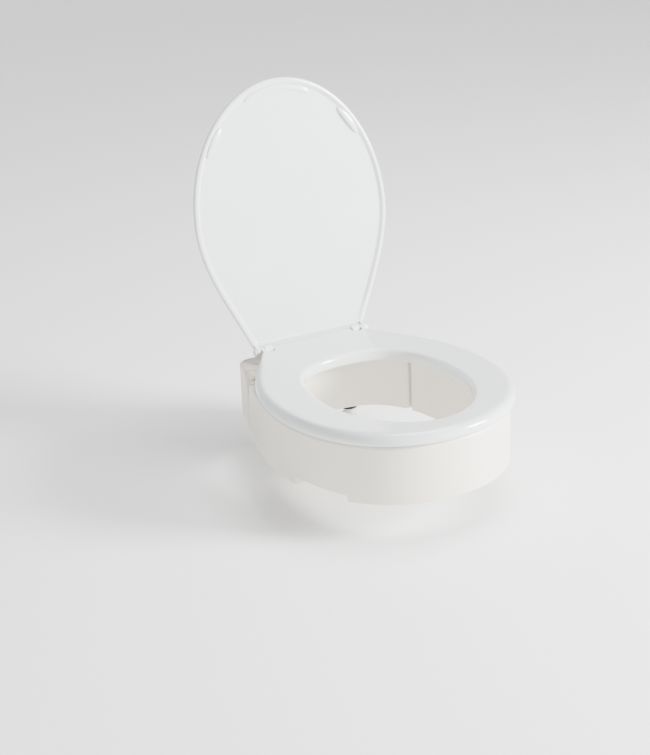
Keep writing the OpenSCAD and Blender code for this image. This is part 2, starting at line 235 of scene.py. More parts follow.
def open_normals(line):
    t = np.gradient(line, axis=0)
    n = np.c_[-t[:, 1], t[:, 0]]
    return n / np.linalg.norm(n, axis=1)[:, None]


def riser_side(y):
    return side_x(y, RISER_HW, RISER_WIDE, RISER_BACK_HW, RISER_BACK, 0.3)


def hole_curve(a0, a1, n=600):
    """Riser opening between two angles, 90 at the back and -90 at the front."""
    a = np.radians(np.linspace(a0, a1, n))
    front = np.sin(a) < 0
    p = np.where(front, HOLE_P_FRONT, HOLE_P_BACK)
    reach = np.where(front, HOLE_FRONT, HOLE_BACK)
    return np.c_[HOLE_HW * powered(np.cos(a), p), HOLE_WIDE + reach * powered(np.sin(a), p)]


def hole_angle(y):
    """Angle at which the back half of the riser opening reaches y."""
    return math.degrees(math.asin(((y - HOLE_WIDE) / HOLE_BACK) ** (HOLE_P_BACK / 2)))


# ---- mesh building ----

def mesh_from(name, verts, faces, sharp=32):
    mesh = bpy.data.meshes.new(name)
    mesh.from_pydata([tuple(v) for v in np.asarray(verts) * MM], [], faces)
    bm = bmesh.new()
    bm.from_mesh(mesh)
    bmesh.ops.remove_doubles(bm, verts=bm.verts, dist=1e-6)
    bmesh.ops.dissolve_degenerate(bm, edges=bm.edges, dist=1e-7)
    bmesh.ops.recalc_face_normals(bm, faces=bm.faces)
    bm.to_mesh(mesh)
    bm.free()
    finish_shading(mesh, sharp)
    return mesh


def finish_shading(mesh, sharp):
    mesh.polygons.foreach_set("use_smooth", [True] * len(mesh.polygons))
    mesh.set_sharp_from_angle(angle=math.radians(sharp))
    mesh.update()


def add_object(name, mesh):
    obj = bpy.data.objects.new(name, mesh)
    bpy.context.scene.collection.objects.link(obj)
    return obj


def grid_faces(rows, cols, wrap_rows=False, wrap_cols=False):
    faces = []
    for i in range(rows if wrap_rows else rows - 1):
        for j in range(cols if wrap_cols else cols - 1):
            i1, j1 = (i + 1) % rows, (j + 1) % cols
            faces.append((i * cols + j, i * cols + j1, i1 * cols + j1, i1 * cols + j))
    return faces


def joined(parts):
    """Vertex and face lists of several closed shapes put into one."""
    verts, faces = [], []
    for v, f in parts:
        start = len(verts)
        verts += [tuple(p) for p in v]
        faces += [tuple(start + i for i in face) for face in f]
    return verts, faces


def round_box(low, high, r, steps=3):
    """Box with all its edges rounded, as a vertex and face list."""
    bm = bmesh.new()
    bmesh.ops.create_cube(bm, size=1)
    low, high = np.array(low, float), np.array(high, float)
    for v in bm.verts:
        v.co = Vector((np.array(v.co) + 0.5) * (high - low) + low)
    bmesh.ops.bevel(bm, geom=list(bm.edges), offset=r, segments=steps, profile=0.5, affect="EDGES")
    return taken(bm)


def taken(bm):
    bm.verts.ensure_lookup_table()
    out = [tuple(v.co) for v in bm.verts], [tuple(v.index for v in f.verts) for f in bm.faces]
    bm.free()
    return out


def turned(profile, centre, axis="Z", n=48):
    """Solid of revolution from (radius, height) points; a closed profile gives a tube."""
    rings = []
    for k in range(n):
        a = 2 * math.pi * k / n
        ring = []
        for r, h in profile:
            u, v = r * math.cos(a), r * math.sin(a)
            ring.append((u, v, h) if axis == "Z" else (h, u, v))
        rings.append(ring)
    verts = np.array(rings).reshape(-1, 3) + np.array(centre)
    return verts, grid_faces(n, len(profile), True, True)


def rod_profile(r, h0, h1, edge):
    """Section of a plain rod with rounded rims, closed on its own axis."""
    return [(0, h0), (r - edge, h0), (r - edge * 0.3, h0 + edge * 0.3), (r, h0 + edge),
            (r, h1 - edge), (r - edge * 0.3, h1 - edge * 0.3), (r - edge, h1), (0, h1)]


def tube_profile(r, bore, h0, h1, edge):
    return [(bore, h0), (r - edge, h0), (r - edge * 0.3, h0 + edge * 0.3), (r, h0 + edge),
            (r, h1 - edge), (r - edge * 0.3, h1 - edge * 0.3), (r - edge, h1), (bore, h1)]


def mirrored_part(part):
    verts, faces = part
    return [(-x, y, z) for x, y, z in verts], [tuple(reversed(f)) for f in faces]


def on_side(part, side):
    return part if side > 0 else mirrored_part(part)


def fused(name, parts, voxel, rounds, sharp=40):
    """Several overlapping shapes melted into one moulding with small fillets."""
    verts, faces = joined(parts)
    obj = add_object(name, mesh_from(name, verts, faces))
    remesh = obj.modifiers.new("remesh", "REMESH")
    remesh.mode = "VOXEL"
    remesh.voxel_size = voxel * MM
    smooth = obj.modifiers.new("smooth", "SMOOTH")
    smooth.factor = 0.5
    smooth.iterations = rounds
    return applied(obj, sharp)


def applied(obj, sharp):
    graph = bpy.context.evaluated_depsgraph_get()
    mesh = bpy.data.meshes.new_from_object(obj.evaluated_get(graph))
    mesh.name = obj.name
    obj.modifiers.clear()
    obj.data = mesh
    finish_shading(mesh, sharp)
    return obj


def cut(obj, tool_parts, operation, sharp=32):
    verts, faces = joined(tool_parts)
    tool = add_object("tool", mesh_from("tool", verts, faces))
    mod = obj.modifiers.new("cut", "BOOLEAN")
    mod.operation = operation
    mod.solver = "EXACT"
    mod.object = tool
    applied(obj, sharp)
    bpy.data.objects.remove(tool)
    return obj


def settle(obj, body, slot, material, *replaced):
    """Gives a finished piece its body, material and the CAD nodes that it stands for."""
    obj.data.materials.clear()
    obj.data.materials.append(material)
    for face in obj.data.polygons:
        face.material_index = 0
    weighted = obj.modifiers.new("weighted", "WEIGHTED_NORMAL")
    weighted.keep_sharp = True
    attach(obj, body)
    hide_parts(*replaced)
    return obj


# ---- materials ----

def plastic(name, colours, rough, grain, coat=0.0, coat_rough=0.05, sheen_scale=9.0, scatter=0.0):
    """Moulded plastic: slow colour drift, patchy gloss, fine grain and a few long rubbed marks."""
    mat = bpy.data.materials.new(name)
    mat.use_nodes = True
    nodes, links = mat.node_tree.nodes, mat.node_tree.links
    shader = nodes["Principled BSDF"]
    coords = nodes.new("ShaderNodeTexCoord")

    drift = nodes.new("ShaderNodeTexNoise")
    drift.inputs["Scale"].default_value = sheen_scale
    drift.inputs["Detail"].default_value = 4
    ramp = nodes.new("ShaderNodeValToRGB")
    ramp.color_ramp.elements[0].position = 0.32
    ramp.color_ramp.elements[0].color = (*colours[0], 1)
    ramp.color_ramp.elements[1].position = 0.70
    ramp.color_ramp.elements[1].color = (*colours[1], 1)
    links.new(coords.outputs["Object"], drift.inputs["Vector"])
    links.new(drift.outputs["Fac"], ramp.inputs["Fac"])
    links.new(ramp.outputs["Color"], shader.inputs["Base Color"])

    rub = nodes.new("ShaderNodeTexNoise")
    rub.inputs["Scale"].default_value = 60
    rub.inputs["Detail"].default_value = 6
    rub.inputs["Distortion"].default_value = 0.6
    stretch = nodes.new("ShaderNodeMapping")
    stretch.inputs["Scale"].default_value = (1.0, 0.22, 1.0)
    level = nodes.new("ShaderNodeMapRange")
    level.inputs["From Min"].default_value = 0.3
    level.inputs["From Max"].default_value = 0.75
    level.inputs["To Min"].default_value = rough[0]
    level.inputs["To Max"].default_value = rough[1]
    links.new(coords.outputs["Object"], stretch.inputs["Vector"])
    links.new(stretch.outputs["Vector"], rub.inputs["Vector"])
    links.new(rub.outputs["Fac"], level.inputs["Value"])
    links.new(level.outputs["Result"], shader.inputs["Roughness"])

    fine = nodes.new("ShaderNodeTexNoise")
    fine.inputs["Scale"].default_value = grain[0]
    fine.inputs["Detail"].default_value = 3
    bump = nodes.new("ShaderNodeBump")
    bump.inputs["Strength"].default_value = grain[1]
    bump.inputs["Distance"].default_value = grain[2]
    links.new(coords.outputs["Object"], fine.inputs["Vector"])
    links.new(fine.outputs["Fac"], bump.inputs["Height"])
    links.new(bump.outputs["Normal"], shader.inputs["Normal"])

    shader.inputs["Coat Weight"].default_value = coat
    shader.inputs["Coat Roughness"].default_value = coat_rough
    shader.inputs["Subsurface Weight"].default_value = scatter
    shader.inputs["Subsurface Scale"].default_value = 0.004
    return mat


def rubber(name, colours, rough):
    return plastic(name, colours, rough, (900, 0.35, 0.0004), sheen_scale=40)


def plated_steel(name):
    """Zinc-plated sheet with fine turned lines."""
    mat = plastic(name, [(0.50, 0.51, 0.52), (0.62, 0.63, 0.63)], (0.24, 0.42), (700, 0.2, 0.0002),
                  sheen_scale=120)
    mat.node_tree.nodes["Principled BSDF"].inputs["Metallic"].default_value = 1.0
    return mat


RISER_PLASTIC = plastic("riser_plastic", [(0.82, 0.765, 0.655), (0.87, 0.825, 0.725)], (0.30, 0.42),
                        (850, 0.10, 0.0003), coat=0.15, coat_rough=0.18, scatter=0.12)
SEAT_PLASTIC = plastic("seat_plastic", [(0.71, 0.745, 0.735), (0.75, 0.785, 0.775)], (0.13, 0.20),
                       (320, 0.025, 0.0003), coat=0.45, coat_rough=0.06, scatter=0.05)
HINGE_PLASTIC = plastic("hinge_plastic", [(0.79, 0.80, 0.80), (0.84, 0.85, 0.85)], (0.22, 0.34),
                        (700, 0.08, 0.0002), coat=0.2, coat_rough=0.1, scatter=0.1)
NYLON = plastic("fastener_nylon", [(0.74, 0.735, 0.69), (0.82, 0.815, 0.78)], (0.36, 0.52),
                (600, 0.15, 0.0003), scatter=0.25)
BUSH_PLASTIC = plastic("bush_plastic", [(0.70, 0.69, 0.64), (0.77, 0.76, 0.71)], (0.40, 0.55),
                       (900, 0.15, 0.0002))
FOOT_RUBBER = rubber("foot_rubber", [(0.36, 0.36, 0.35), (0.43, 0.43, 0.42)], (0.62, 0.80))
BLACK_RUBBER = rubber("washer_rubber", [(0.018, 0.018, 0.018), (0.035, 0.035, 0.034)],
                      (0.55, 0.75))
STEEL = plated_steel("washer_steel")


# ---- hollow walls of the riser, swept station by station ----

def end_inset(distance, r):
    """How far a side draws in at this distance from a rounded end."""
    gap = np.clip(r - distance, 0, r)
    return r - np.sqrt(np.maximum(r * r - gap * gap, 0))


def hollow_sweep(outer, inner, top_z, ceiling, end_out, end_in, r_out, r_in, clamp):
    """Open-bottomed channel between two plan lines. Each row of the result is one closed section.
    top_z gives the top's height at station k and a point; ceiling is the hollow's height per station."""
    n_out, n_in = open_normals(outer), -open_normals(inner)
    rise = np.array([0.12, 0.35, 0.6, 0.85, 1.0])
    phi = np.radians(np.linspace(0, 90, 8))
    sections = []
    for k in range(len(outer)):

        def out(inset, z=None, inside=False, drop=0.0):
            p = outer[k] - n_out[k] * (inset + end_out[k] * (0.4 if inside else 1))
            return (*(clamp(p) if inside else p), top_z(k, p) - drop if z is None else z)

        def inn(inset, z=None, inside=False, drop=0.0):
            p = inner[k] - n_in[k] * (inset + end_in[k] * (0.4 if inside else 1))
            return (*(clamp(p) if inside else p), top_z(k, p) - drop if z is None else z)

        h_o, h_i = out(0)[2], inn(0)[2]
        wall_o = [out(0, BOTTOM + 1 + (h_o - r_out - BOTTOM - 1) * t) for t in rise]
        wall_i = [inn(0, BOTTOM + 1 + (h_i - r_in - BOTTOM - 1) * t) for t in rise]
        edge_o = [out(r_out * (1 - math.cos(a)), drop=r_out - r_out * math.sin(a)) for a in phi[1:]]
        edge_i = [inn(r_in * (1 - math.cos(a)), drop=r_in - r_in * math.sin(a)) for a in phi[1:]]
        top = top_points(k, np.array(edge_o[-1]), np.array(edge_i[-1]), top_z)
        section = [out(0.7, BOTTOM), out(0, BOTTOM + 1)] + wall_o + edge_o + top
        section += edge_i[::-1] + wall_i[::-1] + [inn(0, BOTTOM + 1), inn(0.7, BOTTOM)]
        rise_in = ceiling[k] - BOTTOM - 3
        hollow = [inn(WALL - 0.5, BOTTOM, True), inn(WALL, BOTTOM + 1, True)]
        hollow += [inn(WALL, BOTTOM + 1 + rise_in * t, True) for t in (0.5, 1)]
        hollow += [inn(WALL + 2, ceiling[k], True), out(WALL + 2, ceiling[k], True)]
        hollow += [out(WALL, BOTTOM + 1 + rise_in * t, True) for t in (1, 0.5)]
        hollow += [out(WALL, BOTTOM + 1, True), out(WALL - 0.5, BOTTOM, True)]
        sections.append(section + hollow)
    return np.array(sections), len(section)


def top_points(k, a, b, top_z):
    """Points across the top from the outer edge to the inner one, with a step up where it meets ARM_X."""
    least, probe, edge, ease, rounding = 0.6, 0.02, 0.002, 0.012, 1.2
    reach, goal = abs(a[0]) - ARM_X, abs(a[0]) - abs(b[0])
    t = reach / goal if reach > least and goal > reach else 0.0
    if t > 0 and top_z(k, a[:2] + (b[:2] - a[:2]) * (t - probe)) < RISER_H - 0.05:
        foot, crest = a + (b - a) * (t - edge), a + (b - a) * (t + edge)
        between = (a + foot)[:2] / 2
        low, high = top_z(k, foot[:2]), top_z(k, crest[:2])
        steps = [(between, top_z(k, between)), (foot[:2], low), (crest[:2], high - rounding),
                 ((crest + (b - a) * ease)[:2], high), (((crest + b) / 2)[:2], high)]
        return [tuple(np.r_[place, z]) for place, z in steps]
    return [tuple(np.r_[(a + (b - a) * s)[:2], a[2] + (b[2] - a[2]) * s])
            for s in (0.04, 0.08, 0.3, 0.6, 0.94)]


def channel_part(outer, inner, top_z, ceiling, end_out, end_in, r_out, r_in, clamp):
    sections, split = hollow_sweep(outer, inner, top_z, ceiling, end_out, end_in, r_out, r_in, clamp)
    rows, cols = sections.shape[:2]
    faces = grid_faces(rows, cols, False, True)
    for k, flip in ((0, False), (rows - 1, True)):
        outside = [k * cols + j for j in range(split)]
        inside = [k * cols + j for j in range(split, cols)]
        bottom = [outside[-1], inside[0], inside[-1], outside[0]]
        for ring in (outside, inside, bottom):
            faces.append(tuple(ring[::-1] if flip else ring))
    return sections.reshape(-1, 3), faces


def both_halves(right):
    """A right-hand line from one end to the centre, continued to the mirrored end."""
    left = right[:-1][::-1] * [-1, 1]
    return np.vstack([right, left])


def both_values(right):
    return np.r_[right, right[:-1][::-1]]


def in_row(points):
    """Moves plan-based points from the hinge axis's y to the row frame's."""
    return np.asarray(points, float) + [0, HINGE[1], 0]


def ring_lines():
    """Outer and inner plan lines of the right arm and front of the riser ring, rear end first."""
    swing = np.radians(np.linspace(0, 90, 30))
    arm_y = np.r_[RING_END - END_R + END_R * np.cos(swing),
                  np.linspace(RING_END - END_R, RING_INNER_END + 2, 14)[1:]]
    arm_in = ARM_X + ARM_GAP
    corner = hole_curve(hole_angle(RING_INNER_END - 5), -90)
    hx = corner[0, 0]
    step = np.vstack([arc(arm_in - 2, RING_INNER_END + 2, 2, 0, -90),
                      arc(hx + 5, RING_INNER_END - 5, 5, 90, 180)])
    step = resample(step, STEP_STATIONS)[1:]
    step_y = np.linspace(RING_INNER_END + 2, RING_INNER_END - 5, STEP_STATIONS)[1:]
    back_y = step_y[-1]
    side_y = np.linspace(back_y, RISER_WIDE, 400)
    rest = np.vstack([np.c_[riser_side(side_y), side_y],
                      front_quarter(RISER_HW, RISER_WIDE, RISER_TIP, RISER_P)[1:]])
    outer = np.vstack([np.c_[riser_side(arm_y), arm_y], np.c_[riser_side(step_y), step_y],
                       resample(rest, RING_STATIONS)[1:]])
    inner = np.vstack([np.c_[np.full(len(arm_y), arm_in), arm_y], step, resample(corner, RING_STATIONS)[1:]])
    return outer, inner


def make_ring():
    outer, inner = ring_lines()
    distance = RING_END - outer[:, 1]
    swing_y = np.clip(outer[:, 1] - (RING_END - END_R), 0, END_R)
    height = RISER_H - END_R + np.sqrt(END_R ** 2 - swing_y ** 2)
    ends = end_inset(distance, 3)
    outer, inner = both_halves(outer), both_halves(inner)
    height, ends = both_values(height), both_values(ends)
    clamp = lambda p: np.array([p[0], min(p[1], RING_END - WALL)])
    verts, faces = channel_part(outer, inner, lambda k, p: height[k], height - TOP_T,
                                ends, ends, 5, 2.5, clamp)
    obj = add_object("ring_shell", mesh_from("ring_shell", in_row(verts), faces))
    cut(obj, [pocket_part(outer, -WALL * 0.3, POCKET_DEEP + POCKET_SKIN, BOTTOM, POCKET_H + POCKET_SKIN,
                          POCKET_SKIN, side) for side in (1, -1)], "UNION")
    cut(obj, [pocket_part(outer, 6, POCKET_DEEP, -3, POCKET_H, 0, side) for side in (1, -1)], "DIFFERENCE")
    extras = []
    for side in (1, -1):
        lug = tube_profile(LUG_R, BUSH_R + 0.02, ARM_X + ARM_GAP, LUG_OUT, 0.6)
        part = turned(lug, (0, PIVOT[1], PIVOT[2]), "X")
        web = round_box((ARM_X + ARM_GAP, PIVOT[1] - 24, PIVOT[2] - LUG_R),
                        (LUG_OUT, PIVOT[1] - BUSH_R - 0.8, PIVOT[2] + LUG_R - 4), 0.8)
        for p in (part, web):
            extras.append(on_side(p, side))
    extras += ribs(RING_PADS, outer, inner)
    merged = joined([part_of(obj)] + extras)
    obj.data = mesh_from("ring_shell", *merged)
    return obj


def part_of(obj):
    """A finished mesh as a vertex and face list in millimetres."""
    mesh = obj.data
    return [tuple(np.array(v.co) / MM) for v in mesh.vertices], [tuple(p.vertices) for p in mesh.polygons]


def pocket_part(outer, proud, deep, z0, z1, grow, side):
    """Room for fingers in the bottom edge, or its lining when it is grown."""
    line = outer[(outer[:, 0] * side > 60)]
    line = line[np.argsort(line[:, 1])]
    low, high = POCKET[0] - grow, POCKET[1] + grow
    y = np.linspace(low, high, 40)
    x = np.interp(y, line[:, 1], line[:, 0])
    run = np.c_[x, y]
    t = np.gradient(run, axis=0)
    n = np.c_[t[:, 1], -t[:, 0]] * side
    n /= np.linalg.norm(n, axis=1)[:, None]
    r = 1.6 if grow == 0 else 0.6
    corner = [(deep - r + r * math.cos(a), z1 - r + r * math.sin(a)) for a in np.radians([0, 22, 45, 68, 90])]
    profile = [(-proud, z0), (deep, z0)] + corner + [(-proud, z1)]
    rows = [[(*(run[k] - n[k] * d), z) for d, z in profile] for k in range(len(run))]
    verts = in_row(np.array(rows).reshape(-1, 3))
    cols = len(profile)
    faces = grid_faces(len(run), cols, False, True)
    faces.append(tuple(range(cols)))
    faces.append(tuple((len(run) - 1) * cols + j for j in range(cols))[::-1])
    return verts, faces


def ribs(pads, outer, inner):
    """Pad columns, and a web beside each across the hollow."""
    parts = []
    middle = (outer + inner) / 2
    for x, y, r in pads:
        column = rod_profile(r + 1.5, 4, RIB_TOP, 0.4)
        parts.append(turned(column, (x, y + HINGE[1], 0), "Z", 40))
        k = int(np.argmin(np.linalg.norm(middle - [x, y], axis=1)))
        a, b = outer[k], inner[k]
        d = (b - a) / np.linalg.norm(b - a)
        s = np.array([-d[1], d[0]]) * WEB_HALF
        a, b = a + d * 1.5, b - d * 1.5
        quad = [a + s, b + s, b - s, a - s]
        verts = [(*q, z) for z in (3, RIB_TOP) for q in quad]
        faces = [(3, 2, 1, 0), (4, 5, 6, 7), (0, 1, 5, 4), (1, 2, 6, 5), (2, 3, 7, 6), (3, 0, 4, 7)]
        parts.append((in_row(verts), faces))
    return parts


def block_lines():
    """Outer and inner plan lines of the block's right arm and back, arm tip first."""
    tip = ARM_TIP + 8 * (1 - np.cos(np.radians(np.linspace(0, 90, 14))))
    arm_y = np.r_[tip, np.linspace(tip[-1], BLOCK_FACE - 2, 24)[1:]]
    face_x = riser_side(BLOCK_FACE)
    step = np.vstack([arc(ARM_X + 2, BLOCK_FACE - 2, 2, 180, 90),
                      arc(face_x - 4.5, BLOCK_FACE + 4.5, 4.5, -90, 0)])
    step = resample(step, STEP_STATIONS)[1:]
    side_y = np.linspace(BLOCK_FACE + 4.5, RISER_BACK, 200)
    back = np.vstack([np.c_[riser_side(side_y), side_y],
                      arc(RISER_BACK_HW - RISER_BACK_R, RISER_BACK, RISER_BACK_R, 0, 90),
                      [[0, RISER_BACK + RISER_BACK_R]]])
    outer = np.vstack([np.c_[np.full(len(arm_y), ARM_X), arm_y], step, resample(back, BACK_STATIONS)[1:]])
    arm_hole = hole_curve(hole_angle(ARM_TIP), hole_angle(BLOCK_FACE - 19))
    inner_arm = np.c_[np.interp(np.linspace(ARM_TIP, arm_hole[-1, 1], 400), arm_hole[:, 1], arm_hole[:, 0]),
                      np.linspace(ARM_TIP, arm_hole[-1, 1], 400)]
    share = (arm_y - arm_y[0]) / (arm_y[-1] - arm_y[0])
    inner_y = ARM_TIP + share * (inner_arm[-1, 1] - ARM_TIP)
    near = np.clip((arm_y - ARM_TIP) / 20, 0, 1)
    inner_y = arm_y * (1 - near) + inner_y * near
    first = np.c_[np.interp(inner_y, inner_arm[:, 1], inner_arm[:, 0]), inner_y]
    rest = resample(hole_curve(hole_angle(first[-1, 1]), 90), STEP_STATIONS + BACK_STATIONS - 1)[1:]
    return outer, np.vstack([first, rest])


def make_block():
    outer, inner = block_lines()
    distance = outer[:, 1] - ARM_TIP
    on_arm = np.arange(len(outer)) < ARM_STATIONS
    end_out = np.where(on_arm, end_inset(distance, 3), 0)
    end_in = np.where(on_arm, end_inset(distance, 8), 0)
    ceiling = np.where(on_arm | (outer[:, 1] > BLOCK_FACE + SLOPE_RUN + 2), RISER_H, SLOPE_Z) - TOP_T
    # stations run from the left arm's tip round the back, so that both lines' normals point outwards
    outer, inner = both_halves(outer)[::-1], both_halves(inner)[::-1]
    end_out, end_in, ceiling = both_values(end_out), both_values(end_in), both_values(ceiling)

    def top_z(k, p):
        if abs(p[0]) < ARM_X + 0.01:
            return RISER_H
        slope = SLOPE_Z + (p[1] - BLOCK_FACE) / SLOPE_RUN * (RISER_H - SLOPE_Z)
        blend = 5.0
        over = slope - RISER_H
        if over > blend:
            return RISER_H
        return slope if over < -blend else RISER_H - (blend - over) ** 2 / (4 * blend)

    clamp = lambda p: np.array([p[0], max(p[1], ARM_TIP + WALL)])
    verts, faces = channel_part(outer, inner, top_z, ceiling, end_out, end_in, 4, 2.5, clamp)
    obj = add_object("block_shell", mesh_from("block_shell", in_row(verts), faces))
    slot_back = PIVOT[1] - HINGE[1] + LUG_R + 0.5
    slots = []
    for side in (1, -1):
        part = round_box((ARM_X - 0.01, BLOCK_FACE - 3 + HINGE[1], PIVOT[2] - LUG_R - 0.8),
                         (SLOT_OUT, slot_back + HINGE[1], RISER_H + 6), 0.5, 2)
        slots.append(on_side(part, side))
    cut(obj, slots, "DIFFERENCE")
    extras = ribs(BLOCK_PADS, outer, inner)
    for side in (1, -1):
        tube = tube_profile(12, 5.1, BOTTOM, 84, 0.6)
        boss = rod_profile(9.5, 105, ARM_X - 0.6, 0.5)
        for p in (turned(tube, (BOLT_X, 0, 0), "Z"), turned(boss, (0, PIVOT[1], PIVOT[2]), "X")):
            extras.append(on_side(p, side))
    for x in (-110, -36, 36, 110):
        extras.append(round_box((x - WEB_HALF, -58, 3), (x + WEB_HALF, 17, 84), 0.4, 1))
    obj.data = mesh_from("block_shell", *joined([part_of(obj)] + extras))
    return obj


# ---- seat ----

def seat_loop(n):
    """Outer outline with the tail that fills the gap between the hinge posts.
    The second value is how round each point's edge is, from 0.2 at the rear to 1."""
    notch, tail_r = 3, 4
    rear = np.vstack([[[0, TAIL_BACK]], arc(TAIL_HW - tail_r, TAIL_BACK - tail_r, tail_r, 90, 0),
                      arc(TAIL_HW + notch, SEAT_REAR + notch, notch, 180, 270),
                      arc(SEAT_REAR_HW - SEAT_REAR_R, SEAT_REAR - SEAT_REAR_R, SEAT_REAR_R, 90, 0)])
    side_y = np.linspace(SEAT_REAR - SEAT_REAR_R, SEAT_WIDE, 500)
    side_rear = SEAT_REAR - SEAT_REAR_R
    side = np.c_[side_x(side_y, SEAT_HW, SEAT_WIDE, SEAT_REAR_HW, side_rear, SEAT_SLOPE), side_y]
    front = front_quarter(SEAT_HW, SEAT_WIDE, SEAT_LO[1] - HINGE[1], SEAT_P)
    right = resample(np.vstack([rear, side, front]), n // 2 + 1)
    loop = whole(right)
    tight = np.clip((-loop[:, 1] + SEAT_REAR - 6) / 50, 0, 1)
    tight = tight * tight * (3 - 2 * tight)
    return loop, 0.2 + 0.8 * tight


def seat_hole(q, grow):
    v = q - [0, SEAT_HOLE_C]
    u = v / np.linalg.norm(v, axis=1)[:, None]
    front = u[:, 1] < 0
    reach = np.where(front, SEAT_HOLE_FRONT, SEAT_HOLE_BACK) + grow
    p = np.where(front, *SEAT_HOLE_P)
    k = (np.abs(u[:, 0]) / (SEAT_HOLE_HW + grow)) ** p + (np.abs(u[:, 1]) / reach) ** p
    return u * (k ** (-1 / p))[:, None] + [0, SEAT_HOLE_C]


def make_seat():
    loop, roundness = seat_loop(SEAT_POINTS)
    normal = loop_normals(loop)
    swell = 2 / 2.3
    edge_in, under_edge, hole_in, hole_under = 14, 3, 8, 2.5
    rows = []
    for a in np.radians(np.linspace(-90, 0, 7)):
        rows.append(("out", under_edge * (1 - math.cos(a)), 5 + 5 * math.sin(a)))
    for a in np.radians(np.linspace(0, 90, 14))[1:]:
        rows.append(("out", edge_in * (1 - math.cos(a) ** swell), 5 + 13 * math.sin(a) ** swell))
    for t in (0.08, 0.3, 0.5, 0.7, 0.92):
        rows.append(("top", t, SEAT_T))
    for a in np.radians(np.linspace(90, 0, 13)):
        rows.append(("hole", hole_in * (1 - math.cos(a) ** swell), 6 + 12 * math.sin(a) ** swell))
    for a in np.radians(np.linspace(0, -90, 6))[1:]:
        rows.append(("hole", hole_under * (1 - math.cos(a)), 6 + 6 * math.sin(a)))
    for t in np.linspace(0, 1, 18)[1:-1]:
        rows.append(("under", t, 0))
    top_out = loop - normal * (edge_in * roundness)[:, None]
    top_in = seat_hole(loop, hole_in)
    under_in = seat_hole(loop, hole_under)
    under_out = loop - normal * (under_edge * roundness)[:, None]
    columns = []
    for kind, a, z in rows:
        if kind == "out":
            p = loop - normal * (a * roundness)[:, None]
        elif kind == "hole":
            p = seat_hole(loop, a)
        elif kind == "top":
            p = top_out + (top_in - top_out) * a
        else:
            p = under_in + (under_out - under_in) * a
        columns.append(np.c_[p, np.full(len(p), float(z))])
    verts = np.stack(columns, axis=1)
    y, z = verts[..., 1], verts[..., 2]
    back = np.clip((y + 24) / 4, 0, 1)
    relief = RELIEF * back * back * (3 - 2 * back)
    z[...] = relief + z * (SEAT_T - relief) / SEAT_T
    z[...] += SEAT_Z0
    n, m = verts.shape[:2]
    body = verts.reshape(-1, 3), grid_faces(n, m, True, True)
    parts = [(in_row(body[0]), body[1])]
    for side in (1, -1):
        ear = ear_part(SEAT_EAR, [(-17, -RELIEF + 1.2), (-17, 2.6), (-8, 2.8)])
        parts.append(on_side(ear, side))
    return add_object("seat_ring_shell", mesh_from("seat_ring_shell", *joined(parts), sharp=50))


def ear_part(across, web, n=56, edge=0.9):
    """Hinge knuckle plate: a disc about the hinge axis run out along a web, with a hole for the pin.
    The web is three points round its free end, lowest first, in y and z from the axis."""
    angle = np.linspace(0, 2 * math.pi, n, endpoint=False)
    ring = [Vector((EAR_R * math.cos(a), EAR_R * math.sin(a))) for a in angle]
    shape = convex_hull(ring + [Vector(p) for p in web])
    outline = []
    for a in angle:
        d = Vector((math.cos(a), math.sin(a)))
        outline.append(ray_reach(shape, d) * d)
    x0, x1 = across
    rings = []
    for x, grow in ((x0, -edge), (x0 + edge * 0.3, -edge * 0.3), (x0 + edge, 0),
                    (x1 - edge, 0), (x1 - edge * 0.3, -edge * 0.3), (x1, -edge)):
        rings.append([(x, *(p * (1 + grow / p.length))) for p in outline])
    for x in (x1, x0):
        rings.append([(x, PIN_HOLE * math.cos(a), PIN_HOLE * math.sin(a)) for a in angle])
    verts = np.array(rings).reshape(-1, 3) + [0, HINGE[1], HINGE[2]]
    return verts, grid_faces(len(rings), n, True, True)


def convex_hull(points):
    points = sorted((p.x, p.y) for p in points)

    def half(seq):
        out = []
        for p in seq:
            while len(out) > 1 and cross(out[-2], out[-1], p) <= 0:
                out.pop()
            out.append(p)
        return out[:-1]

    return half(points) + half(points[::-1])


def cross(o, a, b):
    return (a[0] - o[0]) * (b[1] - o[1]) - (a[1] - o[1]) * (b[0] - o[0])


def ray_reach(shape, d):
    """Distance from the axis to a convex outline along d."""
    best = EAR_R
    for i, a in enumerate(shape):
        b = shape[(i + 1) % len(shape)]
        ex, ey = b[0] - a[0], b[1] - a[1]
        det = d.x * -ey + d.y * ex
        if abs(det) < 1e-9:
            continue
        t = (a[0] * -ey + a[1] * ex) / det
        s = (d.x * a[1] - d.y * a[0]) / det
        if t > 0 and -1e-6 <= s <= 1 + 1e-6:
            best = max(best, t)
    return best


# ---- lid ----

def opened(points):
    """Turns closed-lid points, measured from the hinge axis, to where the open lid leans."""
    points = np.asarray(points, float)
    c, s = math.cos(LID_LEAN), math.sin(LID_LEAN)
    y, z = points[:, 1], points[:, 2]
    return np.c_[points[:, 0], y * c + z * s + HINGE[1], -y * s + z * c + HINGE[2]]


def lid_loop(inset):
    hw, tip = LID_HW - inset, LID_TIP + inset
    rear_hw, rear_r = LID_REAR_HW - inset, max(0.8, 4 - inset / 3)
    rear = LID_REAR - inset * 2 / 3 - rear_r
    side_y = np.linspace(rear, LID_WIDE, 500)
    right = np.vstack([[[0, rear + rear_r]], arc(rear_hw - rear_r, rear, rear_r, 90, 0),
                       np.c_[side_x(side_y, hw, LID_WIDE, rear_hw, rear, LID_SLOPE), side_y],
                       front_quarter(hw, LID_WIDE, tip, 2)])
    return whole(resample(right, LID_POINTS // 2 + 1))


